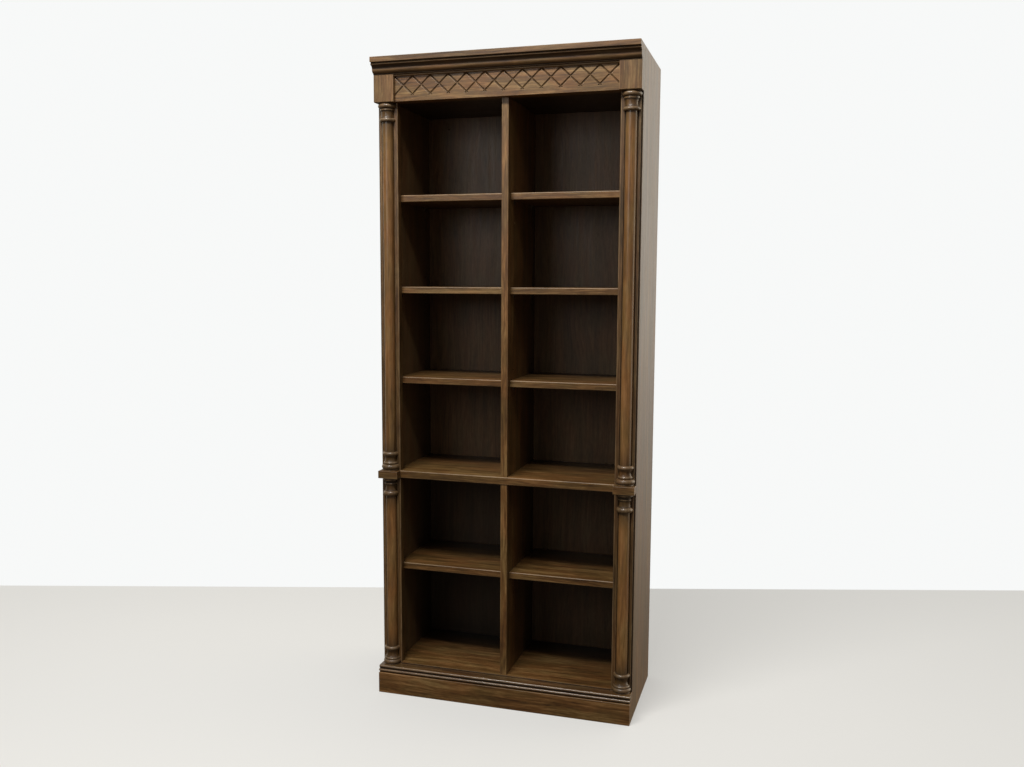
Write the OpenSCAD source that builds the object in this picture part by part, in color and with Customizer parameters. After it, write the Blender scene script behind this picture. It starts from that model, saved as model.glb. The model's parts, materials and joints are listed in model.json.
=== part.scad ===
// Tall two-bay bookcase with turned half columns, a carved frieze and eight adjustable shelves.
// Millimetres, +Z up. The origin is on the floor under the middle of the whole bookcase,
// +X is the right-hand side as seen from the front, and -Y is the front.

/* [Overall size] */
// Width over the side panels
overall_w = 900; // [820:1:1100]
// Height from the floor to the top of the cornice
overall_h = 2194; // [2150:1:2300]
// Depth of the carcass, from the face of the stiles to the back
carcass_d = 375; // [330:1:420]

/* [Boards] */
// Thickness of the outer side panels
side_t = 20; // [16:1:22]
// Thickness of the inner linings of the bays
lining_t = 16; // [14:1:18]
// Thickness of a side from its outer face to the inside of the bay
side_total_t = 51.3; // [48:0.1:56]
// Thickness of the adjustable shelves, the bottom board and the dividers
board_t = 22.8; // [18:0.1:26]
// Thickness of the fixed shelf at waist height
waist_t = 26; // [22:1:30]
// Thickness of the back panels
back_t = 12; // [6:1:14]
// Thickness of the rear rails
rear_rail_t = 24; // [18:1:28]

/* [Heights] */
// Top of the bottom board
bottom_top_z = 102.3; // [90:0.1:120]
// Top of the plinth, which the stiles and columns stand on
plinth_top_z = 97.5; // [85:0.1:100]
// Top of the fixed waist shelf
waist_top_z = 799.5; // [760:0.5:840]
// Inside height of the upper bays, which is also the lower edge of the frieze
ceiling_z = 2054; // [2020:1:2060]
// Lower edge of the cornice
cornice_z = 2141; // [2130:1:2145]
// Tops of the adjustable shelves of one bay, from the highest to the lowest
shelf_tops = [1750.5, 1439.5, 1127, 461.5];

/* [Face frame] */
// Width of the stiles, the corner blocks and the waist blocks
stile_w = 71; // [66:1:76]
// Thickness of the stiles and the header rail
stile_t = 26; // [22:1:28]
// How far the corner blocks stand in front of the stiles
corner_proj = 34; // [32:1:38]
// How far the waist blocks stand in front of the stiles
waist_block_proj = 32; // [31:1:36]
// How far the frieze stands in front of the stiles
frieze_proj = 21.7; // [18:0.1:26]
// How far the cornice stands in front of the stiles
cornice_proj = 65; // [62:1:72]
// How far the plinth stands in front of the stiles
plinth_proj = 44; // [40:1:50]

/* [Columns] */
// Radius of the column shafts
shaft_r = 18.7; // [16:0.1:20]
// Depth of the channel in the stile that the column sits in
channel_depth = 4; // [2:0.5:6]

/* [Carving] */
// Number of crosses side by side along the frieze
cross_count = 12; // [8:1:16]
// Width of a carved groove at the face
groove_w = 7; // [4:0.5:8]

/* [Shelf supports] */
// Radius of the shelf pins and their holes
pin_r = 2.5; // [2:0.1:3]
// Spacing of the holes above each other
hole_pitch = 32; // [25:1:32]
// Holes in each group, one shelf position each
hole_count = 5; // [3:2:7]

/* [Hidden] */
$fn = 64;

half_w = overall_w / 2;
front_y = -(carcass_d + cornice_proj) / 2 + cornice_proj; // face of the stiles
back_y = front_y + carcass_d;                             // back of the whole bookcase
back_face_y = back_y - rear_rail_t - back_t;              // what is seen at the back of a bay
wall_x = half_w - side_total_t;                           // inside face of a lining
side_in_x = half_w - side_t;                              // inside face of a side panel
stile_in_x = half_w - stile_w;                            // inner edge of a stile
stile_back_y = front_y + stile_t;
half_div = board_t / 2;
bay_w = wall_x - half_div;
bay_mid_x = (wall_x + half_div) / 2;
bottom_z = bottom_top_z - board_t;
waist_z = waist_top_z - waist_t;
roof_t = 17;
roof_z = overall_h - roof_t;

// Ceiling, waist and edges
ceiling_t = 20;
waist_lip = 3;         // the waist shelf stands this far in front of the stiles
bottom_lip = 4;        // and the bottom board this far
bottom_front_y = front_y - bottom_lip;
edge_r = 3;            // rounded front edges of the shelves

// Adjustable shelves
shelf_setback = 0.5;   // clearance behind the stiles
shelf_end_gap = 1;     // clearance at each end
shelf_back_gap = 3;    // clearance to the back panel
shelf_l = bay_w - 2 * shelf_end_gap;
shelf_front_y = stile_back_y + shelf_setback;
shelf_d = back_face_y - shelf_back_gap - shelf_front_y;

// Shelf pins
pin_depth = 9;         // length in the hole
pin_drop = 8;          // axis below the underside of the shelf
pad_l = 10;            // pad under the shelf
pad_w = 10;
pad_t = 1.5;
flange_h = 14;
hole_depth = 9.5;
pin_rows = [shelf_front_y + 45, shelf_front_y + shelf_d - 45];

// Plinth and its moulding
plinth_flat_z = 72.5;
plinth_t = 22;
plinth_front_y = front_y - plinth_proj;
plinth_back_y = plinth_front_y + plinth_t;
return_w = 22;
bearer_w = 22;
rear_rail_y = back_face_y - rear_rail_t;
glue_block = 30;

// Rear rails
rear_rail_h = 90;
lower_back_z = 30;
wall_hole_r = 3;
wall_hole_x = 320;
wall_hole_z = ceiling_z - 40;

// Turnings
column_x = half_w - stile_w / 2;
channel_w = 45;
quirk = 5.5;           // small rebate down the outer edge of a stile

// Frieze
frieze_l = 2 * stile_in_x;
frieze_margin = 21;    // plain band under the carving
frieze_bead_h = 6.5;
frieze_bead_d = 8;
cross_w = frieze_l / cross_count;
cross_h = cornice_z - frieze_bead_h - ceiling_z - frieze_margin;

// Battens, dowels and screws
batten_w = 50;
dowel_r = 4;
dowel_l = 24;
dowel_rows = [stile_back_y + 40, (stile_back_y + back_face_y) / 2, back_face_y - 40];
screw_r = 2;
screw_l = 30;
screw_head_r = 4;
screw_head_h = 2.5;
screw_x = side_in_x - (side_in_x - wall_x - lining_t) / 2;
screw_rows = [150, 420, 690, 900, 1160, 1420, 1680, 1940];

walnut = [0.36, 0.26, 0.18];
dark_walnut = [0.25, 0.17, 0.11];
turned_walnut = [0.32, 0.25, 0.19];
beech = [0.72, 0.56, 0.38];
steel = [0.62, 0.62, 0.64];

// ---- Helpers ----

// A box from its low corner to its high corner
module block(lo, hi) {
    translate(lo)
        cube(hi - lo);
}

// Draws on the right-hand side, or mirrored on the left
module on_side(side) {
    if (side == "right")
        children();
    else
        mirror([1, 0, 0])
            children();
}

// Extrudes an outline of depth (Y) and height (Z) along X, between two X values
module along_x(x0, x1) {
    translate([x0, 0, 0])
        rotate([90, 0, 90])
            linear_extrude(x1 - x0)
                children();
}

// Outline of a board lying flat, with both front edges rounded
module rounded_front(y0, y1, z0, z1, r) {
    translate([y0 + r, z0])
        square([y1 - y0 - r, z1 - z0]);
    translate([y0, z0 + r])
        square([r, z1 - z0 - 2 * r]);
    for (z = [z0 + r, z1 - r])
        translate([y0 + r, z])
            circle(r);
}

// ---- Carcass ----

module side_panel() {
    color(walnut)
        block([side_in_x, stile_back_y, 0], [half_w, back_y, overall_h]);
}

// Heights of the shelf pin holes beside one shelf
function hole_heights(shelf_top) = [
    for (k = [0 : hole_count - 1])
        shelf_top - board_t - pin_drop + (k - (hole_count - 1) / 2) * hole_pitch
];

// Blind holes from a wall face at x, running towards dir, beside the listed shelves
module pin_holes(x, dir, tops) {
    for (top = tops, z = hole_heights(top), y = pin_rows)
        translate([x, y, z])
            rotate([0, dir * 90, 0])
                translate([0, 0, -1])
                    cylinder(r = pin_r, h = hole_depth + 1);
}

module lining() {
    color(dark_walnut)
        difference() {
            block([wall_x, stile_back_y, bottom_top_z], [wall_x + lining_t, back_face_y, ceiling_z]);
            pin_holes(wall_x, 1, shelf_tops);
            side_dowels();
        }
}

module side_battens() {
    color(beech)
        difference() {
            for (y = [stile_back_y, (stile_back_y + back_face_y - batten_w) / 2, back_face_y - batten_w])
                block([wall_x + lining_t, y, bottom_top_z], [side_in_x, y + batten_w, ceiling_z]);
            back_screw_column();
        }
}

module stile() {
    color(walnut)
        difference() {
            translate([0, 0, plinth_top_z])
                linear_extrude(roof_z - plinth_top_z)
                    stile_outline();
            column_channel();
            for (span = [[plinth_top_z, waist_z], [waist_top_z, ceiling_z - 2]])
                block([half_w - quirk, front_y - 1, span[0]], [half_w + 1, front_y + quirk, span[1]]);
        }
}

// Plan outline of a stile, with its inner front edge rounded
module stile_outline() {
    translate([stile_in_x + edge_r, front_y])
        square([stile_w - edge_r, stile_t]);
    translate([stile_in_x, front_y + edge_r])
        square([edge_r, stile_t - edge_r]);
    translate([stile_in_x + edge_r, front_y + edge_r])
        circle(edge_r);
}

module column_channel() {
    block([column_x - channel_w / 2, front_y - 1, plinth_top_z - 1],
          [column_x + channel_w / 2, front_y + channel_depth, ceiling_z - 2]);
}

module header_rail() {
    color(walnut)
        block([-stile_in_x, front_y, ceiling_z], [stile_in_x, stile_back_y, roof_z]);
}

module ceiling_panel() {
    color(dark_walnut)
        difference() {
            block([-side_in_x, stile_back_y, ceiling_z], [side_in_x, back_face_y, ceiling_z + ceiling_t]);
            divider_dowels(ceiling_z);
        }
}

module roof_panel() {
    color(dark_walnut)
        block([-side_in_x, stile_back_y, roof_z], [side_in_x, back_y, overall_h]);
}

// The fixed shelf runs between the linings and comes forward between the stiles
module waist_shelf() {
    color(walnut)
        difference() {
            union() {
                along_x(-wall_x, wall_x)
                    translate([stile_back_y, waist_z])
                        square([back_face_y - stile_back_y, waist_t]);
                along_x(-stile_in_x, stile_in_x)
                    rounded_front(front_y - waist_lip, stile_back_y, waist_z, waist_top_z, edge_r);
            }
            side_dowels();
            mirror([1, 0, 0])
                side_dowels();
            waist_dowels();
        }
}

// The bottom board comes forward between the stiles, stands on rebates under them and meets
// the plinth moulding, which carries the columns
module bottom_board() {
    color(walnut)
        difference() {
            union() {
                block([-half_w, bottom_front_y, bottom_z], [half_w, stile_back_y, plinth_top_z]);
                block([-side_in_x, stile_back_y, bottom_z], [side_in_x, back_face_y, bottom_top_z]);
                block([-stile_in_x, bottom_front_y, bottom_z],
                      [stile_in_x, stile_back_y, bottom_top_z]);
            }
            divider_dowels(bottom_top_z);
        }
}

module divider_upper() {
    color(walnut)
        difference() {
            block([-half_div, front_y, waist_top_z], [half_div, back_face_y, ceiling_z]);
            pin_holes(half_div, -1, [for (i = [0 : 2]) shelf_tops[i]]);
            pin_holes(-half_div, 1, [for (i = [0 : 2]) shelf_tops[i]]);
            waist_dowels();
            divider_dowels(ceiling_z);
        }
}

module divider_lower() {
    color(walnut)
        difference() {
            block([-half_div, front_y, bottom_top_z], [half_div, back_face_y, waist_z]);
            pin_holes(half_div, -1, [shelf_tops[3]]);
            pin_holes(-half_div, 1, [shelf_tops[3]]);
            divider_dowels(bottom_top_z);
            waist_dowels();
        }
}

// ---- Back ----

module back_panel(z0, z1) {
    color(dark_walnut)
        difference() {
            block([-side_in_x, back_face_y, z0], [side_in_x, back_face_y + back_t, z1]);
            back_screw_column();
            mirror([1, 0, 0])
                back_screw_column();
            wall_holes();
        }
}

module rear_rail(z0) {
    color(beech)
        block([-side_in_x, back_y - rear_rail_t, z0], [side_in_x, back_y, z0 + rear_rail_h]);
}

module top_back_rail() {
    difference() {
        rear_rail(ceiling_z + ceiling_t - rear_rail_h);
        wall_holes();
    }
}

// Two holes right through the back, for the screws that fix the bookcase to a wall
module wall_holes() {
    for (x = [-wall_hole_x, wall_hole_x])
        translate([x, back_face_y - 1, wall_hole_z])
            rotate([-90, 0, 0])
                cylinder(r = wall_hole_r, h = back_t + rear_rail_t + 2);
}

// ---- Plinth ----

module plinth_board() {
    color(walnut)
        block([-half_w, plinth_front_y, 0], [half_w, plinth_back_y, plinth_flat_z]);
}

// Moulding on top of the plinth board: two beads, one over the other, with quirks below them.
// Behind the plinth board it runs on over the returns, as far as the bottom board.
module plinth_moulding() {
    bead_r = 4;
    upper = [plinth_front_y + 9, plinth_top_z - bead_r];
    lower = [plinth_front_y + 6, plinth_flat_z + 8.3];
    color(walnut)
        along_x(-half_w, half_w) {
            translate([upper[0], plinth_flat_z])
                square([plinth_back_y - upper[0], plinth_top_z - plinth_flat_z]);
            translate([plinth_back_y, bottom_z])
                square([bottom_front_y - plinth_back_y, plinth_top_z - bottom_z]);
            for (bead = [upper, lower]) {
                translate([bead[0], bead[1] - bead_r])
                    square([upper[0] - bead[0] + 1, 2 * bead_r]);
                translate(bead)
                    circle(bead_r);
            }
        }
}

module plinth_return() {
    color(walnut)
        block([half_w - return_w, plinth_back_y, 0], [half_w, stile_back_y, bottom_z]);
}

module plinth_rear_rail() {
    color(beech)
        block([-side_in_x, rear_rail_y, 0], [side_in_x, back_face_y, bottom_z]);
}

module plinth_bearer() {
    color(beech)
        block([-bearer_w / 2, plinth_back_y, 0], [bearer_w / 2, rear_rail_y, bottom_z]);
}

// Three-cornered blocks glued inside the corners of the plinth
module plinth_glue_blocks() {
    color(beech)
        for (s = [-1, 1]) {
            glue_block_at([s * (half_w - return_w), plinth_back_y], -s, 1);
            glue_block_at([s * side_in_x, rear_rail_y], -s, -1);
        }
}

module glue_block_at(corner, dir_x, dir_y) {
    translate([corner[0], corner[1], bottom_z - 60])
        linear_extrude(60)
            polygon([[0, 0], [dir_x * glue_block, 0], [0, dir_y * glue_block]]);
}

// ---- Front ----

module corner_block() {
    color(walnut)
        along_x(stile_in_x, half_w)
            corner_block_outline();
}

// Side outline of a corner block, with its lower front edge rounded
module corner_block_outline() {
    face = front_y - corner_proj;
    foot = ceiling_z - 2;
    translate([face, foot + edge_r])
        square([corner_proj, cornice_z - foot - edge_r]);
    translate([face + edge_r, foot])
        square([corner_proj - edge_r, edge_r]);
    translate([face + edge_r, foot + edge_r])
        circle(edge_r);
}

module waist_block() {
    color(walnut)
        block([stile_in_x, front_y - waist_block_proj, waist_z], [half_w, front_y, waist_top_z]);
}

// The frieze board, with a row of carved crosses
module frieze() {
    face = front_y - frieze_proj;
    color(walnut)
        difference() {
            block([-stile_in_x, face, ceiling_z], [stile_in_x, front_y, cornice_z]);
            carving(face, ceiling_z + frieze_margin);
        }
}

// V grooves that cross in each cell of the row, trimmed just past the tips of the crosses
module carving(face, foot_z) {
    slope = atan2(cross_h, cross_w);
    length = norm([cross_w, cross_h]) + 2 * groove_w;
    intersection() {
        for (i = [0 : cross_count - 1], turn = [-slope, slope])
            translate([-stile_in_x + (i + 0.5) * cross_w, face, foot_z + cross_h / 2])
                rotate([0, turn, 0])
                    groove(length);
        block([-stile_in_x - 1, face - groove_w, foot_z - groove_w / 2],
              [stile_in_x + 1, face + groove_w, foot_z + cross_h + groove_w / 2]);
    }
}

// A V groove of the given length along X, centred on the origin in the plane Y = 0
module groove(length) {
    side = groove_w / sqrt(2);
    rotate([45, 0, 0])
        cube([length, side, side], center = true);
}

module frieze_bead() {
    y = front_y - frieze_proj;
    r = frieze_bead_h / 2;
    z = cornice_z - r;
    color(walnut)
        along_x(-stile_in_x, stile_in_x) {
            translate([y - frieze_bead_d + r, z])
                circle(r);
            translate([y - frieze_bead_d + r, z - r])
                square([frieze_bead_d - r, frieze_bead_h]);
        }
}

module cornice_cap() {
    color(walnut)
        block([-half_w, front_y - cornice_proj, roof_z], [half_w, stile_back_y, overall_h]);
}

// Cornice moulding: a rolled foot that turns into a hollow, with a thin bead under the cap
module cornice_moulding() {
    foot_y = front_y - corner_proj - 1.5;
    foot_h = 3;
    roll_r = 13;
    hollow_r = 12;
    roll_c = [foot_y + 2.5, cornice_z + foot_h + roll_r];
    hollow_c = [roll_c[0] - roll_r - hollow_r, roll_c[1]];
    shoulder_z = hollow_c[1] + hollow_r;
    bead_r = 2.75;
    color(walnut)
        along_x(-half_w, half_w) {
            translate([foot_y, cornice_z])
                square([front_y - foot_y, roof_z - cornice_z]);
            translate(roll_c)
                circle(roll_r);
            difference() {
                translate([hollow_c[0], roll_c[1]])
                    square([foot_y - hollow_c[0], hollow_r]);
                translate(hollow_c)
                    circle(hollow_r);
            }
            translate([hollow_c[0] + bead_r, shoulder_z])
                square([foot_y - hollow_c[0] - bead_r, roof_z - shoulder_z]);
            translate([hollow_c[0] + bead_r, shoulder_z + bead_r])
                circle(bead_r);
        }
}

// ---- Columns ----
// A column is turned from a full outline of radius (X) and height (Y), and sits
// in the channel of its stile with a tongue behind its front half.

// A rounded ring: its foot, its height and its largest radius
module ring(z, h, r) {
    translate([0, z])
        square([r - h / 2, h]);
    translate([r - h / 2, z + h / 2])
        circle(h / 2);
}

// A flat disc
module disc(z, h, r) {
    translate([0, z])
        square([r, h]);
}

// A hollow neck between two heights, with one radius at both ends and a smaller one in its middle
module neck(z0, z1, r_end, r_mid) {
    half = (z1 - z0) / 2;
    dip = r_end - r_mid;
    arc_r = (half * half + dip * dip) / (2 * dip);
    difference() {
        translate([0, z0])
            square([r_end, z1 - z0]);
        translate([r_mid + arc_r, z0 + half])
            circle(arc_r);
    }
}

// A hollow of quarter-circle outline that widens upwards
module cavetto(z, r_foot, r_top) {
    depth = r_top - r_foot;
    difference() {
        translate([0, z])
            square([r_top, depth]);
        translate([r_top, z])
            circle(depth);
    }
}

module column(z0, z1) {
    color(turned_walnut)
        translate([column_x, front_y, 0]) {
            rotate([0, 0, 180])
                rotate_extrude(angle = 180)
                    intersection() {
                        children();
                        translate([0, z0])
                            square([stile_w / 2, z1 - z0]);
                    }
            block([-shaft_r, 0, z0], [shaft_r, channel_depth, z1]);
        }
}

module column_upper() {
    z0 = waist_top_z;
    z1 = ceiling_z - 2;
    column(z0, z1) {
        disc(z0, 5, 28);
        ring(z0 + 5, 17.5, 32);
        ring(z0 + 23, 9, 25);
        neck(z0 + 31, z0 + 53, 23.5, 20.5);
        ring(z0 + 53, 13.5, 28);
        disc(z0 + 60, z1 - z0 - 60, shaft_r);
        ring(z1 - 61, 12, 28);
        neck(z1 - 50, z1 - 24, 23.5, 21);
        disc(z1 - 24, 6, 25.5);
        disc(z1 - 18, 2, 22);
        ring(z1 - 16.5, 14, 32.5);
        disc(z1 - 3, 3, 28);
    }
}

module column_lower() {
    z0 = plinth_top_z;
    z1 = waist_z;
    column(z0, z1) {
        disc(z0, 3, 28);
        ring(z0 + 2.5, 16, 31.5);
        ring(z0 + 16, 11, 28);
        neck(z0 + 25, z0 + 54, 26, 20.5);
        ring(z0 + 53, 12, 28);
        disc(z0 + 60, z1 - z0 - 60, shaft_r);
        ring(z1 - 64, 18.5, 27.5);
        neck(z1 - 47, z1 - 22, 21.5, 19.2);
        disc(z1 - 22, 4, 22.5);
        disc(z1 - 18, 4, 21);
        cavetto(z1 - 14, 21, 27);
        disc(z1 - 8, 8, 28.5);
    }
}

// ---- Adjustable shelves and their supports ----

module shelf(i) {
    top = shelf_tops[i];
    color(walnut)
        along_x(bay_mid_x - shelf_l / 2, bay_mid_x + shelf_l / 2)
            rounded_front(shelf_front_y, shelf_front_y + shelf_d, top - board_t, top, edge_r);
}

// A shelf support: a round pin in the wall at x, a flange against it and a pad under the shelf
module pin(x, dir, y, under) {
    translate([x, y, under]) {
        translate([0, 0, -pin_drop])
            rotate([0, -dir * 90, 0])
                cylinder(r = pin_r, h = pin_depth);
        block([min(0, dir * pad_t), -pad_w / 2, -flange_h], [max(0, dir * pad_t), pad_w / 2, 0]);
        block([min(0, dir * pad_l), -pad_w / 2, -pad_t], [max(0, dir * pad_l), pad_w / 2, 0]);
    }
}

// The four supports of each listed shelf of the right-hand bay
module pins(tops) {
    color(steel)
        for (top = tops, y = pin_rows) {
            pin(half_div, 1, y, top - board_t);
            pin(wall_x, -1, y, top - board_t);
        }
}

// ---- Joinery ----

// Dowels between the waist shelf and the right-hand lining
module side_dowels() {
    for (y = dowel_rows)
        translate([wall_x - dowel_l / 2, y, waist_z + waist_t / 2])
            rotate([0, 90, 0])
                cylinder(r = dowel_r, h = dowel_l);
}

// Upright dowels centred on the joint at one end of a divider
module divider_dowels(z) {
    upright_dowels(z - dowel_l / 2, dowel_l);
}

// The waist shelf is too thin for two dowel ends, so these run right through it
module waist_dowels() {
    upright_dowels(waist_z - dowel_l / 2, waist_t + dowel_l);
}

module upright_dowels(z, length) {
    for (y = [dowel_rows[0], dowel_rows[2]])
        translate([0, y, z])
            cylinder(r = dowel_r, h = length);
}

module dowels() {
    color(beech) {
        side_dowels();
        mirror([1, 0, 0])
            side_dowels();
        divider_dowels(bottom_top_z);
        divider_dowels(ceiling_z);
        waist_dowels();
    }
}

// A countersunk screw from the rear of the back panel forwards
module back_screw(z) {
    translate([screw_x, back_face_y + back_t, z])
        rotate([90, 0, 0]) {
            cylinder(r = screw_r, h = screw_l);
            cylinder(r1 = screw_head_r, r2 = screw_r, h = screw_head_h);
        }
}

// The screws down the right-hand edge of the back panels
module back_screw_column() {
    for (z = screw_rows)
        back_screw(z);
}

module back_screws() {
    color(steel) {
        back_screw_column();
        mirror([1, 0, 0])
            back_screw_column();
    }
}

on_side("left") side_panel();  // side_panel_left
on_side("right") side_panel();  // side_panel_right
on_side("left") lining();  // lining_left
on_side("right") lining();  // lining_right
on_side("left") side_battens();  // side_battens_left
on_side("right") side_battens();  // side_battens_right
on_side("left") stile();  // stile_left
on_side("right") stile();  // stile_right
header_rail();
ceiling_panel();
roof_panel();
waist_shelf();
bottom_board();
divider_upper();
divider_lower();
back_panel(waist_z + waist_t / 2, roof_z);  // back_panel_upper
back_panel(lower_back_z, waist_z + waist_t / 2);  // back_panel_lower
top_back_rail();
rear_rail(waist_z + (waist_t - rear_rail_h) / 2);  // waist_back_rail
plinth_board();
plinth_moulding();
on_side("left") plinth_return();  // plinth_return_left
on_side("right") plinth_return();  // plinth_return_right
plinth_rear_rail();
plinth_bearer();
plinth_glue_blocks();
on_side("left") corner_block();  // corner_block_left
on_side("right") corner_block();  // corner_block_right
frieze();
frieze_bead();
cornice_cap();
cornice_moulding();
on_side("left") waist_block();  // waist_block_left
on_side("right") waist_block();  // waist_block_right
on_side("left") column_upper();  // column_upper_left
on_side("right") column_upper();  // column_upper_right
on_side("left") column_lower();  // column_lower_left
on_side("right") column_lower();  // column_lower_right
on_side("left") shelf(0);  // shelf_1_left
on_side("right") shelf(0);  // shelf_1_right
on_side("left") shelf(1);  // shelf_2_left
on_side("right") shelf(1);  // shelf_2_right
on_side("left") shelf(2);  // shelf_3_left
on_side("right") shelf(2);  // shelf_3_right
on_side("left") shelf(3);  // shelf_4_left
on_side("right") shelf(3);  // shelf_4_right
on_side("left") pins([for (i = [0 : 2]) shelf_tops[i]]);  // pins_upper_left
on_side("right") pins([for (i = [0 : 2]) shelf_tops[i]]);  // pins_upper_right
on_side("left") pins([shelf_tops[3]]);  // pins_lower_left
on_side("right") pins([shelf_tops[3]]);  // pins_lower_right
dowels();
back_screws();
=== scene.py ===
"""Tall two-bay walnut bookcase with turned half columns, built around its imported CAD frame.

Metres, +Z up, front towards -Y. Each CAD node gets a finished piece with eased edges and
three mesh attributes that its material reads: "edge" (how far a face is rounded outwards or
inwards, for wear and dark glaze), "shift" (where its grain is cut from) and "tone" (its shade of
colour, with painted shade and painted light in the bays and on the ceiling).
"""
import itertools
import json
import math

import bmesh
import bpy
from mathutils import Matrix, Vector

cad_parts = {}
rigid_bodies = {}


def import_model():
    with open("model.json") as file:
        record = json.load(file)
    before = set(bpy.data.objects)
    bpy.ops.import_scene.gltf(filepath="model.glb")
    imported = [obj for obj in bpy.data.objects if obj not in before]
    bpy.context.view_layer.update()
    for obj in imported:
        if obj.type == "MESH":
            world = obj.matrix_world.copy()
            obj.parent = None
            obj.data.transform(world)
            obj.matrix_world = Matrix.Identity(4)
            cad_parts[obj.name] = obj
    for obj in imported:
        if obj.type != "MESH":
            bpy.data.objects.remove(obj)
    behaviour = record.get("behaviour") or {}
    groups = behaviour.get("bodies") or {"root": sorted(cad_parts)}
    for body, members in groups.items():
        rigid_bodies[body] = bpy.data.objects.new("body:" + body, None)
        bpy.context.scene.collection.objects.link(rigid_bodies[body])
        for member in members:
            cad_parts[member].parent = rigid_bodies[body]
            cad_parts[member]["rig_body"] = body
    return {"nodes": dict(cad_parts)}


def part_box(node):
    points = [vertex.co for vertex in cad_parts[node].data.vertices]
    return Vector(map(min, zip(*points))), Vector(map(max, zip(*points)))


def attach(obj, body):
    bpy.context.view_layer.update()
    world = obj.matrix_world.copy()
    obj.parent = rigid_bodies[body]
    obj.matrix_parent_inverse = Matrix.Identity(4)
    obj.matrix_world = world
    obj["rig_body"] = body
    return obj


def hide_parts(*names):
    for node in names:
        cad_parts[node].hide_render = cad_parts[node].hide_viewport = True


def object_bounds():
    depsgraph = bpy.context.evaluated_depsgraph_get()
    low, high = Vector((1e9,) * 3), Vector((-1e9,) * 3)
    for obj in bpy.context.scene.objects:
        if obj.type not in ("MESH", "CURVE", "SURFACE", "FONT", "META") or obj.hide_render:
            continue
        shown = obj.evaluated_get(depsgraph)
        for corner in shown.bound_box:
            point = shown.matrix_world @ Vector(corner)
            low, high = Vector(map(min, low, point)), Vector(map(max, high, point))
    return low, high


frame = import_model()
cad_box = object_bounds()

MM = 0.001

# ---- Camera and studio ----

CAMERA_PLACE = Vector((0.922, -3.1636, 1.460))
CAMERA_YAW = math.radians(16.50)
CAMERA_PITCH = math.radians(6.303)
CAMERA_ROLL = math.radians(0.279)
CAMERA_LENS = 33.177
CAMERA_SHIFT = (-0.00099, 0.00199)
FLOOR_END = 4.386          # from the camera to the far edge of the floor
FLOOR_REACH = 9.0          # to its other edges

LIGHT_TARGET = Vector((0.0, 0.0, 1.10))
KEY_PLACE = Vector((-0.42, -2.10, 4.00))
KEY_SIZE = (2.0, 0.35)
KEY_POWER = 124.0
FRONT_PLACE = Vector((-1.10, -3.20, 2.30))
FRONT_SIZE = (1.3, 1.3)
FRONT_POWER = 13.0
LIGHT_COLOUR = (1.0, 0.97, 0.93)

# The room that lights the bookcase, by the direction it is seen in
WALL_WHITE = (0.935, 0.945, 0.940, 1.0)
LEFT_FILL = (0.08, 0.08, 0.08, 1.0)
RIGHT_FILL = (0.17, 0.16, 0.15, 1.0)
REAR_FILL = (1.35, 1.28, 1.14, 1.0)
REAR_LEFT_FILL = (0.40, 0.39, 0.36, 1.0)
CEILING_FILL = (0.50, 0.49, 0.46, 1.0)
SIDE_FILL = (3.00, 2.62, 2.02, 1.0)
SIDE_LEFT_FILL = (0.95, 0.86, 0.70, 1.0)
FRONT_FLOOR = (0.10, 0.08, 0.06, 1.0)
REAR_FLOOR = (0.17, 0.13, 0.085, 1.0)

# Where one part of the room passes into the next, as components of a unit direction
FRONT_TO_REAR = (-0.35, 0.55)       # along Y
MIDDLE_TO_SIDE = (0.45, 0.90)       # away from X = 0
SIDE_FRONT_TO_REAR = (0.0, 0.45)    # along Y: the sides are bright only towards the rear
REAR_LEFT_TO_RIGHT = (-0.25, 0.15)  # along X
FRONT_LEFT_TO_RIGHT = (-0.4, 0.4)   # along X
SIDE_LEFT_TO_RIGHT = (-0.1, 0.1)    # along X
WALLS_TO_CEILING = (0.30, 0.90)     # along Z
WALLS_TO_FLOOR = (0.10, -0.45)      # along Z, downwards


def make_camera():
    """The camera at the photograph's place and angle."""
    ahead = Vector((-math.sin(CAMERA_YAW) * math.cos(CAMERA_PITCH),
                    math.cos(CAMERA_YAW) * math.cos(CAMERA_PITCH),
                    -math.sin(CAMERA_PITCH)))
    right = Vector((math.cos(CAMERA_YAW), math.sin(CAMERA_YAW), 0.0))
    up = right.cross(ahead)
    rolled_right = right * math.cos(CAMERA_ROLL) + up * math.sin(CAMERA_ROLL)
    rolled_up = up * math.cos(CAMERA_ROLL) - right * math.sin(CAMERA_ROLL)
    turn = Matrix((rolled_right, rolled_up, -ahead)).transposed().to_4x4()
    data = bpy.data.cameras.new("camera")
    data.lens = CAMERA_LENS
    data.shift_x, data.shift_y = CAMERA_SHIFT
    camera = bpy.data.objects.new("camera", data)
    camera.matrix_world = Matrix.Translation(CAMERA_PLACE) @ turn
    bpy.context.scene.collection.objects.link(camera)
    bpy.context.scene.camera = camera


def make_softbox(name, place, size, power):
    """A soft box of a width and a height, aimed at the middle of the bookcase."""
    data = bpy.data.lights.new(name, "AREA")
    data.shape = "RECTANGLE"
    data.size, data.size_y = size
    data.energy = power
    data.color = LIGHT_COLOUR
    light = bpy.data.objects.new(name, data)
    light.location = place
    light.rotation_mode = "QUATERNION"
    light.rotation_quaternion = (LIGHT_TARGET - place).to_track_quat("-Z", "Y")
    light.visible_camera = False
    bpy.context.scene.collection.objects.link(light)


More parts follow.
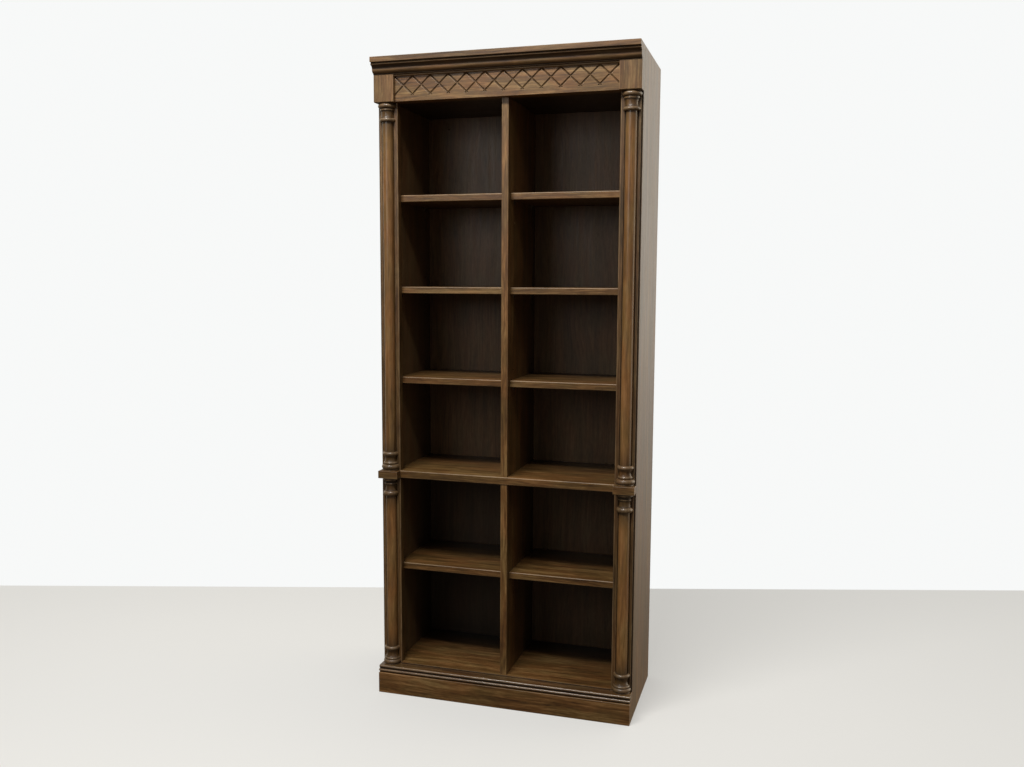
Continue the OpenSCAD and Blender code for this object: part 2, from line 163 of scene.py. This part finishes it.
def make_world():
    """A room that is bright behind the bookcase and dim in front; the camera sees only white."""
    world = bpy.data.worlds.new("studio")
    world.use_nodes = True
    bpy.context.scene.world = world
    tree = Tree(world.node_tree)
    x, y, z = tree.axes(tree.add("TexCoord", output="Generated"))
    rear = tree.spread(y, *FRONT_TO_REAR)
    side = tree.spread(tree.math("ABSOLUTE", x), *MIDDLE_TO_SIDE)
    side = tree.math("MULTIPLY", side, tree.spread(y, *SIDE_FRONT_TO_REAR))
    rear_wall = tree.mix(tree.spread(x, *REAR_LEFT_TO_RIGHT), REAR_LEFT_FILL, REAR_FILL)
    front_wall = tree.mix(tree.spread(x, *FRONT_LEFT_TO_RIGHT), LEFT_FILL, RIGHT_FILL)
    side_wall = tree.mix(tree.spread(x, *SIDE_LEFT_TO_RIGHT), SIDE_LEFT_FILL, SIDE_FILL)
    floor = tree.mix(rear, FRONT_FLOOR, REAR_FLOOR)
    room = tree.mix(rear, front_wall, rear_wall)
    room = tree.mix(side, room, side_wall)
    room = tree.mix(tree.spread(z, *WALLS_TO_CEILING), room, CEILING_FILL)
    room = tree.mix(tree.spread(z, *WALLS_TO_FLOOR), room, floor)
    seen = tree.add("LightPath", output="Is Camera Ray")
    colour = tree.mix(seen, room, WALL_WHITE)
    background = tree.add("Background", {"Color": colour})
    tree.add("OutputWorld", {"Surface": background}, output=None)


def make_floor():
    """A pale floor that ends in a straight line behind the bookcase."""
    ahead = Vector((-math.sin(CAMERA_YAW), math.cos(CAMERA_YAW), 0.0))
    right = Vector((ahead.y, -ahead.x, 0.0))
    foot = Vector((CAMERA_PLACE.x, CAMERA_PLACE.y, 0.0))
    corners = [foot + ahead * forward + right * aside
               for forward, aside in ((-FLOOR_REACH, -FLOOR_REACH), (-FLOOR_REACH, FLOOR_REACH),
                                      (FLOOR_END, FLOOR_REACH), (FLOOR_END, -FLOOR_REACH))]
    mesh = bpy.data.meshes.new("floor")
    mesh.from_pydata(corners, [], [(0, 1, 2, 3)])
    floor = bpy.data.objects.new("floor", mesh)
    floor.data.materials.append(floor_paint())
    bpy.context.scene.collection.objects.link(floor)
    # The bookcase is lit from below by the world's own dim floor, not by this bright one
    floor.visible_diffuse = False
    floor.visible_glossy = False
    floor.visible_shadow = False


# ---- Materials ----


class Tree:
    """Adds nodes to a node tree. A value in `inputs` is a constant or another node's output."""

    def __init__(self, tree):
        self.tree = tree
        tree.nodes.clear()

    def add(self, kind, inputs=None, output=0, **settings):
        node = self.tree.nodes.new("ShaderNode" + kind)
        for name, value in settings.items():
            setattr(node, name, value)
        for name, value in (inputs or {}).items():
            if isinstance(value, bpy.types.NodeSocket):
                self.tree.links.new(value, node.inputs[name])
            else:
                node.inputs[name].default_value = value
        return None if output is None else node.outputs[output]

    def axes(self, vector):
        """The X, Y and Z sockets of a vector."""
        node = self.tree.nodes.new("ShaderNodeSeparateXYZ")
        self.tree.links.new(vector, node.inputs[0])
        return list(node.outputs)

    def math(self, operation, a, b=0.0):
        return self.add("Math", {0: a, 1: b}, operation=operation)

    def vector_math(self, operation, a, b):
        return self.add("VectorMath", {0: a, 1: b}, operation=operation)

    def mix(self, factor, a, b, blend="MIX"):
        """Colour mix from a to b."""
        return self.add("Mix", {0: factor, 6: a, 7: b}, output=2, data_type="RGBA", blend_type=blend)

    def spread(self, value, low, high, to_low=0.0, to_high=1.0):
        """Maps low..high to to_low..to_high, with soft ends."""
        return self.add("MapRange", {"Value": value, "From Min": low, "From Max": high,
                                     "To Min": to_low, "To Max": to_high},
                        interpolation_type="SMOOTHSTEP")

    def ramp(self, value, low, high):
        """Maps low..high to 0..1 in a straight line."""
        return self.add("MapRange", {"Value": value, "From Min": low, "From Max": high})

    def noise(self, vector, across, along, detail=2.0, rough=0.5, output="Fac"):
        """Noise with `across` and `along` features per metre; the grain runs along Z here."""
        stretched = self.vector_math("MULTIPLY", vector, (across, across, along))
        return self.add("TexNoise", {"Vector": stretched, "Scale": 1.0, "Detail": detail,
                                     "Roughness": rough}, output=output)


def new_material(name):
    material = bpy.data.materials.new(name)
    material.use_nodes = True
    return material, Tree(material.node_tree)


def finish_material(tree, inputs):
    shader = tree.add("BsdfPrincipled", inputs)
    tree.add("OutputMaterial", {"Surface": shader}, output=None)


def grain_space(tree, grain):
    """Object coordinates moved by the piece's "shift", with the grain's axis put last."""
    place = tree.add("TexCoord", output="Object")
    shift = tree.add("Attribute", output="Vector", attribute_name="shift")
    x, y, z = tree.axes(tree.vector_math("ADD", place, shift))
    order = {"X": (y, z, x), "Y": (x, z, y), "Z": (x, y, z)}[grain]
    return tree.add("CombineXYZ", dict(enumerate(order)))


RING_SPACING = 0.009        # between growth rings
RING_WANDER = 0.060         # how far the rings stray
PITH = (0.055, 0.085, 0.0)  # from the board to the middle of the tree
SWAY = (0.05, 0.05, 0.0)    # how far the grain sways, and never along itself
PORE_DARKNESS = 0.45
WEAR = 0.45                 # how much of the stain is rubbed off a full edge
GLAZE_COVER = 0.80          # how much of the stain the glaze covers in a full hollow
HOLLOW_GAIN = -1.6          # "edge" is below 0 in a hollow, and -1 / 1.6 is a full one
STREAK_ROUGHNESS = 0.30     # how much rougher than the rest each of these is
PORE_ROUGHNESS = 0.12
HOLLOW_ROUGHNESS = 0.35
LACQUER_SPECULAR = 0.38
GLAZE = (0.014, 0.008, 0.004, 1.0)
RED_TINT = (1.09, 0.975, 0.90, 1.0)
GREEN_TINT = (0.955, 1.01, 0.96, 1.0)


def swaying(tree, space):
    """Grain space with a slow sway, which keeps the grain from running dead straight."""
    sway = tree.noise(space, 5.0, 2.2, output="Color")
    sway = tree.vector_math("SUBTRACT", sway, (0.5, 0.5, 0.5))
    sway = tree.vector_math("MULTIPLY", sway, SWAY)
    return tree.vector_math("ADD", space, sway)


def growth_rings(tree, bent):
    """Rings round a pith that lies outside the board."""
    flat = tree.vector_math("MULTIPLY", bent, (1.0, 1.0, 0.0))
    flat = tree.vector_math("ADD", flat, PITH)
    radius = tree.add("VectorMath", {0: flat}, operation="LENGTH", output="Value")
    wander = tree.noise(bent, 14.0, 1.5, detail=3.0)
    radius = tree.math("ADD", radius, tree.math("MULTIPLY", wander, RING_WANDER))
    rings = tree.math("SINE", tree.math("MULTIPLY", radius, 2 * math.pi / RING_SPACING))
    return tree.spread(rings, -1.0, 0.3)


def weighed(tree, parts, figure):
    """A shade round 0.5 from noises and their weights, stronger with a larger figure."""
    shade = 0.5
    for part, weight in parts:
        centred = tree.math("SUBTRACT", part, 0.5)
        shade = tree.math("ADD", shade, tree.math("MULTIPLY", centred, weight * figure))
    return shade


def stained(tree, space, colour):
    """The colour, redder in some places and greener in others, and scaled by the piece's tone, which
    holds its own shade and the painted shade and light set on it.
    """
    patches = tree.spread(tree.noise(space, 22.0, 7.0), 0.35, 0.65)
    tint = tree.mix(patches, RED_TINT, GREEN_TINT)
    colour = tree.mix(1.0, colour, tint, blend="MULTIPLY")
    tone = tree.add("Attribute", output="Fac", attribute_name="tone")
    tone = tree.math("ADD", tone, 1.0)
    return tree.add("VectorMath", {0: colour, "Scale": tone}, operation="SCALE")


def edge_wear(tree, space):
    """How far the stain is rubbed thin on outer edges, in patches."""
    edge = tree.add("Attribute", output="Fac", attribute_name="edge")
    patchy = tree.spread(tree.noise(space, 60.0, 16.0, detail=3.0), 0.30, 0.70, 0.35, 1.0)
    return tree.math("MULTIPLY", tree.math("MAXIMUM", edge, 0.0), patchy)


def hollowness(tree):
    """How far a face lies in a hollow, from 0 to 1."""
    edge = tree.add("Attribute", output="Fac", attribute_name="edge")
    deep = tree.math("MAXIMUM", tree.math("MULTIPLY", edge, HOLLOW_GAIN), 0.0)
    return tree.math("MINIMUM", deep, 1.0)


def wood(name, grain, dark, middle, light, worn, figure=1.0, rough=0.42, coat=0.15, coat_rough=0.30):
    """Stained and lacquered timber: growth rings, streaks, mottle, pores, wear and glaze."""
    material, tree = new_material(name)
    space = grain_space(tree, grain)
    bent = swaying(tree, space)
    streaks = tree.noise(bent, 85.0, 4.5, detail=4.0, rough=0.62)
    lines = tree.noise(bent, 260.0, 9.0, detail=3.0, rough=0.60)
    mottle = tree.noise(bent, 130.0, 34.0)
    fibres = tree.noise(bent, 700.0, 22.0)
    bands = tree.noise(bent, 34.0, 1.9, detail=3.0)
    blotches = tree.noise(space, 9.0, 2.4, detail=3.0)
    pores = tree.spread(tree.noise(bent, 1500.0, 60.0, detail=1.0), 0.60, 0.74)
    shade = weighed(tree, ((growth_rings(tree, bent), 0.12), (streaks, 0.95), (lines, 1.00),
                           (mottle, 0.45), (fibres, 0.35), (bands, 1.05), (blotches, 0.50)), figure)

    colour = tree.mix(tree.ramp(shade, 0.0, 0.5), dark, middle)
    colour = tree.mix(tree.ramp(shade, 0.5, 1.0), colour, light)
    colour = tree.mix(tree.math("MULTIPLY", pores, PORE_DARKNESS), colour, dark)
    colour = stained(tree, space, colour)
    colour = tree.mix(tree.math("MULTIPLY", edge_wear(tree, space), WEAR), colour, worn)
    hollow = hollowness(tree)
    colour = tree.mix(tree.math("MULTIPLY", hollow, GLAZE_COVER), colour, GLAZE)

    # Streaks, pores and hollows are duller, and a hollow has no lacquer left in it
    roughness = tree.math("MULTIPLY", tree.math("SUBTRACT", streaks, 0.5), STREAK_ROUGHNESS)
    roughness = tree.math("ADD", roughness, rough)
    roughness = tree.math("ADD", roughness, tree.math("MULTIPLY", pores, PORE_ROUGHNESS))
    roughness = tree.math("ADD", roughness, tree.math("MULTIPLY", hollow, HOLLOW_ROUGHNESS))
    lacquer = tree.math("MULTIPLY", tree.math("SUBTRACT", 1.0, hollow), coat)
    height = tree.math("SUBTRACT", tree.math("MULTIPLY", fibres, 0.5), pores)
    normal = tree.add("Bump", {"Height": height, "Strength": 0.35, "Distance": 0.2 * MM})
    finish_material(tree, {"Base Color": colour, "Roughness": roughness, "Normal": normal,
                           "Specular IOR Level": LACQUER_SPECULAR, "Coat Weight": lacquer,
                           "Coat Roughness": coat_rough})
    return material


def walnut(grain):
    return wood("walnut_" + grain.lower(), grain,
                dark=(0.024, 0.010, 0.003, 1.0), middle=(0.108, 0.054, 0.016, 1.0),
                light=(0.245, 0.142, 0.056, 1.0), worn=(0.33, 0.22, 0.12, 1.0))


def polished_walnut(grain):
    return wood("polished_walnut_" + grain.lower(), grain,
                dark=(0.020, 0.009, 0.004, 1.0), middle=(0.085, 0.045, 0.017, 1.0),
                light=(0.200, 0.120, 0.055, 1.0), worn=(0.33, 0.23, 0.14, 1.0),
                rough=0.30, coat=0.7, coat_rough=0.18)


def inner_walnut(grain):
    return wood("inner_walnut_" + grain.lower(), grain,
                dark=(0.030, 0.016, 0.007, 1.0), middle=(0.078, 0.045, 0.020, 1.0),
                light=(0.130, 0.082, 0.042, 1.0), worn=(0.25, 0.17, 0.11, 1.0),
                figure=0.7, rough=0.44, coat=0.1)


def turned_walnut():
    return wood("turned_walnut", "Z",
                dark=(0.030, 0.012, 0.003, 1.0), middle=(0.115, 0.056, 0.015, 1.0),
                light=(0.215, 0.118, 0.044, 1.0), worn=(0.32, 0.23, 0.14, 1.0),
                figure=0.75, rough=0.40, coat=0.4, coat_rough=0.13)


def beech(grain):
    return wood("beech_" + grain.lower(), grain,
                dark=(0.330, 0.195, 0.095, 1.0), middle=(0.460, 0.300, 0.165, 1.0),
                light=(0.560, 0.390, 0.230, 1.0), worn=(0.62, 0.47, 0.31, 1.0),
                figure=0.6, rough=0.55, coat=0.0)


BRONZED = (0.060, 0.045, 0.032, 1.0)
RUBBED_BRIGHT = (0.26, 0.22, 0.17, 1.0)


def steel():
    """Bronzed steel of the shelf pins and the screws, with brushing and rubbed spots."""
    material, tree = new_material("steel")
    place = tree.add("TexCoord", output="Object")
    brushing = tree.noise(place, 900.0, 90.0, detail=3.0)
    spots = tree.noise(place, 160.0, 160.0, detail=3.0)
    edge = tree.add("Attribute", output="Fac", attribute_name="edge")
    rubbed = tree.math("ADD", tree.spread(spots, 0.45, 0.75, 0.0, 0.5), tree.math("MAXIMUM", edge, 0.0))
    colour = tree.mix(tree.math("MINIMUM", rubbed, 1.0), BRONZED, RUBBED_BRIGHT)
    normal = tree.add("Bump", {"Height": brushing, "Strength": 0.2, "Distance": 0.1 * MM})
    finish_material(tree, {"Base Color": colour, "Normal": normal, "Metallic": 1.0,
                           "Roughness": tree.spread(brushing, 0.3, 0.7, 0.34, 0.5)})
    return material


FLOOR_DARK = (0.415, 0.415, 0.405, 1.0)
FLOOR_LIGHT = (0.425, 0.425, 0.415, 1.0)
FLOOR_GLOW = (1.0, 1.0, 0.985, 1.0)
FLOOR_GLOW_STRENGTH = 0.355


def floor_paint():
    """Matt pale floor, partly self-lit so that it stays even out to its edges."""
    material, tree = new_material("floor")
    place = tree.add("TexCoord", output="Object")
    cloud = tree.noise(place, 1.5, 1.5, detail=3.0)
    colour = tree.mix(cloud, FLOOR_DARK, FLOOR_LIGHT)
    finish_material(tree, {"Base Color": colour, "Roughness": 0.9, "Specular IOR Level": 0.0,
                           "Emission Color": FLOOR_GLOW, "Emission Strength": FLOOR_GLOW_STRENGTH})
    return material


# ---- Piece building ----

EDGE_CURVE = 250.0         # mean curvature, per metre, that counts as a full edge
SMALLEST_AREA = 1e-10      # keeps a sliver of a face from dividing by nothing
JOINED = 1e-6              # corners nearer than this are one corner
FLAT = math.radians(0.5)   # faces that meet at less than this are one face
SHARP = math.radians(35.0)  # an edge is eased from this angle up
SMOOTH = math.radians(40.0)  # and shaded smooth up to this one

# How wide the edges are eased
BOARD_EASE = 1.2 * MM
SHELF_EASE = 0.8 * MM
FINE_EASE = 0.5 * MM
SMALL_EASE = 0.3 * MM

# Each piece is cut from another place in the timber, and is a little lighter or darker
PIECE_SHIFT = Vector((0.83, 1.37, 2.11))
PIECE_TONE = 0.05
PIECE_TONE_STEP = 2.4      # radians from one piece to the next along the sine of their tones

# Looks whose grain can run along any axis, and looks that come in one way only
WOODS = {"walnut": walnut, "polished_walnut": polished_walnut, "inner_walnut": inner_walnut,
         "beech": beech}
SINGLE_LOOKS = {"turned_walnut": turned_walnut, "steel": steel}
finishes = {}
piece_numbers = itertools.count(1)


def finish_for(look, grain):
    """The material of a look and a grain direction, which is made the first time it is asked for."""
    key = (look, grain)
    if key not in finishes:
        finishes[key] = WOODS[look](grain) if look in WOODS else SINGLE_LOOKS[look]()
    return finishes[key]


def mark_edges(bm):
    """Stores on each face how far it is rounded outwards (+1) or inwards (-1)."""
    layer = bm.faces.layers.float.new("edge")
    for face in bm.faces:
        bend = sum(e.calc_length() * e.calc_face_angle_signed(0.0) for e in face.edges)
        area = max(face.calc_area(), SMALLEST_AREA)
        face[layer] = max(-1.0, min(1.0, bend / (2 * area) / EDGE_CURVE))


def cad_mesh(node):
    """A node's mesh with its split corners joined and its flat faces whole again."""
    bm = bmesh.new()
    bm.from_mesh(frame["nodes"][node].data)
    bmesh.ops.remove_doubles(bm, verts=bm.verts, dist=JOINED)
    bmesh.ops.dissolve_limit(bm, angle_limit=FLAT, verts=bm.verts, edges=bm.edges)
    return bm


def bevel(bm, edges, width, segments):
    bmesh.ops.bevel(bm, geom=edges, offset=width, offset_type="OFFSET", segments=segments,
                    profile=0.5, affect="EDGES", clamp_overlap=False)


def ease_edges(bm, width):
    """Rounds every sharp outer edge."""
    bevel(bm, [e for e in bm.edges if e.calc_face_angle_signed(0.0) > SHARP], width, segments=3)


def store(mesh, name, kind, field, values):
    """Gives each vertex of a mesh a value that its material can read."""
    mesh.attributes.new(name, kind, "POINT").data.foreach_set(field, values)


def make_piece(bm, name, nodes, look, grain, tone_at):
    """Turns a bmesh into a piece that stands for the listed nodes of one body."""
    mark_edges(bm)
    mesh = bpy.data.meshes.new(name)
    bm.to_mesh(mesh)
    bm.free()
    mesh.shade_smooth()
    mesh.set_sharp_from_angle(angle=SMOOTH)
    number = next(piece_numbers)
    own_tone = PIECE_TONE * math.sin(PIECE_TONE_STEP * number)
    store(mesh, "shift", "FLOAT_VECTOR", "vector", list(PIECE_SHIFT * number) * len(mesh.vertices))
    store(mesh, "tone", "FLOAT", "value", [own_tone + tone_at(v.co) for v in mesh.vertices])
    mesh.materials.append(finish_for(look, grain))
    piece = bpy.data.objects.new(name, mesh)
    bpy.context.scene.collection.objects.link(piece)
    normals = piece.modifiers.new("flat_faces", "WEIGHTED_NORMAL")
    normals.keep_sharp = True
    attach(piece, frame["nodes"][nodes[0]]["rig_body"])
    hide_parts(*nodes)


def cut_across(bm, axis, place):
    """Adds a loop of vertices where a mesh crosses a plane, without changing its shape."""
    normal = Vector((0.0, 0.0, 0.0))
    normal[axis] = 1.0
    bmesh.ops.bisect_plane(bm, geom=bm.verts[:] + bm.edges[:] + bm.faces[:],
                           plane_co=normal * place, plane_no=normal)


def eased(node, look, grain, width=BOARD_EASE):
    """A finished piece of the node's own shape, with eased edges."""
    bm = cad_mesh(node)
    ease_edges(bm, width)
    make_piece(bm, "finished_" + node, [node], look, grain, lambda place: tone_of(node))


def both(stem):
    return [stem + "_left", stem + "_right"]


# ---- The bookcase ----


X_AXIS, Y_AXIS, Z_AXIS = range(3)

# How much lighter or darker single pieces are than the rest; the ceiling's dark tone is painted shade,
# and the lighter tones of the linings and back panels are painted light on the inner walnut
TONES = {"stile": -0.32, "cornice": -0.18, "waist_block": -0.15, "divider": 0.24,
         "plinth_board": 0.20, "ceiling": -0.70, "frieze": 0.18, "back_panel": 0.50,
         "lining": 0.80, "bottom_board": 0.06}
# Painted shade on the step at the front of the bottom board
STEP_SHADE_TONE = -0.60          # the step at the front of the bottom board
STEP_DEPTH = 0.3 * MM      # what is this near to its front is that step
# Painted shade and light on the lower back panel's face in the bays: darker at the left and towards the
# floor
LEFT_BACK_SHADING = -0.22     # the top of the lower back panel, in the left bay
RIGHT_BACK_SHADING = 0.30     # and in the right bay
BACK_SHADE_FALL = 0.62      # how much darker that panel is at the floor
BACK_SKIN = 1.0 * MM       # how much of its thickness is its face in the bays
BEHIND_DIVIDER = 2 * MM    # how far behind the divider's edge the two bays' tones meet

# Painted shade: the tone gets darker towards the back of a bay, most of all near the floor
FADE_REACH = 0.274         # how far in front of the back panels it begins
FADE_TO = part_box("back_panel_lower")[0].y
FADE_FROM = FADE_TO - FADE_REACH
FADE_AT_FLOOR = 0.97
FADE_AT_TOP = 0.30


def tone_of(node):
    """The tone of a node, by how its name begins, or 0 where none is set."""
    return sum(tone for stem, tone in TONES.items() if node.startswith(stem))


def painted_shade_tone(tone, place):
    """A tone with the painted shade of the back of a bay added to it."""
    depth = max(0.0, min(1.0, (place.y - FADE_FROM) / (FADE_TO - FADE_FROM)))
    fade = FADE_AT_FLOOR + (FADE_AT_TOP - FADE_AT_FLOOR) * place.z / cad_box[1].z
    return (1.0 + tone) * (1.0 - fade * depth) - 1.0


def make_bay_board(node, look, grain, width=SHELF_EASE):
    """A board that runs to the back of a bay, with painted shade towards its back."""
    bm = cad_mesh(node)
    ease_edges(bm, width)
    cut_across(bm, Y_AXIS, FADE_FROM)
    make_piece(bm, "finished_" + node, [node], look, grain,
               lambda place: painted_shade_tone(tone_of(node), place))


def make_boards():
    """Every flat board, from its node."""
    for node in both("side_panel") + both("stile") + both("corner_block"):
        eased(node, "walnut", "Z")
    for node in ["plinth_board", "cornice_cap", "header_rail"] + both("waist_block"):
        eased(node, "walnut", "X")
    for node in both("plinth_return"):
        eased(node, "walnut", "Y")
    for node in ["waist_shelf"] + [name for i in range(1, 5) for name in both(f"shelf_{i}")]:
        make_bay_board(node, "walnut", "X")
    make_bottom_board()
    for node in ("divider_upper", "divider_lower"):
        make_bay_board(node, "walnut", "Z")
    for node in both("lining"):
        make_bay_board(node, "inner_walnut", "Z", FINE_EASE)
    eased("back_panel_upper", "inner_walnut", "Z", FINE_EASE)
    make_lower_back()
    for node in ("ceiling_panel", "roof_panel"):
        eased(node, "inner_walnut", "X")


def make_lower_back():
    """The lower back panel: its face in the bays has painted shade, darker towards the floor and most
    of all at the left.
    """
    bm = cad_mesh("back_panel_lower")
    ease_edges(bm, FINE_EASE)
    divider_low, divider_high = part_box("divider_lower")
    for x in (divider_low.x + BEHIND_DIVIDER, divider_high.x - BEHIND_DIVIDER):
        cut_across(bm, X_AXIS, x)
    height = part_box("back_panel_lower")[1].z
    inside = FADE_TO + BACK_SKIN

    def tone_at(place):
        if place.y > inside:
            return tone_of("back_panel")
        bay_shading = LEFT_BACK_SHADING if place.x < 0.0 else RIGHT_BACK_SHADING
        return bay_shading - BACK_SHADE_FALL * (1.0 - place.z / height)

    make_piece(bm, "finished_back_panel_lower", ["back_panel_lower"], "inner_walnut", "Z", tone_at)


def make_bottom_board():
    """The bottom board, with painted shade on the low step down to the plinth moulding and towards the
    back of the bays.
    """
    bm = cad_mesh("bottom_board")
    ease_edges(bm, FINE_EASE)
    cut_across(bm, Y_AXIS, FADE_FROM)
    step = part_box("bottom_board")[0].y + STEP_DEPTH

    def tone_at(place):
        return STEP_SHADE_TONE if place.y < step else painted_shade_tone(tone_of("bottom_board"), place)

    make_piece(bm, "finished_bottom_board", ["bottom_board"], "walnut", "X", tone_at)


def make_mouldings():
    """The mouldings of the cornice, the frieze and the plinth."""
    for node in ("cornice_moulding", "frieze_bead"):
        eased(node, "walnut", "X", FINE_EASE)
    eased("plinth_moulding", "polished_walnut", "X", FINE_EASE)


VALLEY = math.radians(-60.0)  # an inner edge at least this sharp is the bottom of a groove
VALLEY_WIDTH = 0.8 * MM       # how far up each side of the groove its flat bottom reaches


def make_frieze():
    """The frieze, with a narrow flat in each groove so that the glaze lies only at its bottom."""
    bm = cad_mesh("frieze")
    ease_edges(bm, FINE_EASE)
    valleys = [e for e in bm.edges if e.calc_face_angle_signed(0.0) < VALLEY]
    bevel(bm, valleys, VALLEY_WIDTH, segments=1)
    make_piece(bm, "finished_frieze", ["frieze"], "walnut", "X", lambda place: tone_of("frieze"))


# Half columns: the glaze is darker on the turnings than on the plain shaft
TURNING_TONE = -0.42
SHAFT_TONES = {"column_upper": 0.38, "column_lower": 0.66}
SMUDGE = 60 * MM           # how far the dark glaze reaches along the shaft


def make_columns():
    """The four half columns, in two tiers."""
    for stem, shaft_tone in SHAFT_TONES.items():
        for node in both(stem):
            make_column(node, shaft_tone)


def shaft_span(bm):
    """Foot and top of the plain shaft: the longest stretch of a column with no rings on it."""
    levels = sorted(vertex.co.z for vertex in bm.verts)
    return max(zip(levels, levels[1:]), key=lambda pair: pair[1] - pair[0])


def make_column(node, shaft_tone):
    """One half column, whose glaze fades out along both ends of its shaft."""
    bm = cad_mesh(node)
    ease_edges(bm, FINE_EASE)
    foot, top = shaft_span(bm)
    for height in (foot + SMUDGE, top - SMUDGE):
        cut_across(bm, Z_AXIS, height)

    def tone_at(place):
        plain = foot + SMUDGE / 2 < place.z < top - SMUDGE / 2
        return shaft_tone if plain else TURNING_TONE

    make_piece(bm, "finished_" + node, [node], "turned_walnut", "Z", tone_at)


def make_hidden_parts():
    """Rails, battens, blocks and dowels of beech, and the steel pins and screws."""
    for node in ("top_back_rail", "waist_back_rail", "plinth_rear_rail"):
        eased(node, "beech", "X")
    eased("plinth_bearer", "beech", "Y")
    eased("dowels", "beech", "Z", SMALL_EASE)
    for node in both("side_battens") + ["plinth_glue_blocks"]:
        eased(node, "beech", "Z")
    for node in both("pins_upper") + both("pins_lower") + ["back_screws"]:
        eased(node, "steel", "Z", SMALL_EASE)


make_camera()
make_world()
make_softbox("key", KEY_PLACE, KEY_SIZE, KEY_POWER)
make_softbox("front", FRONT_PLACE, FRONT_SIZE, FRONT_POWER)
make_floor()
make_boards()
make_mouldings()
make_frieze()
make_columns()
make_hidden_parts()

bpy.context.scene.view_settings.view_transform = "Standard"
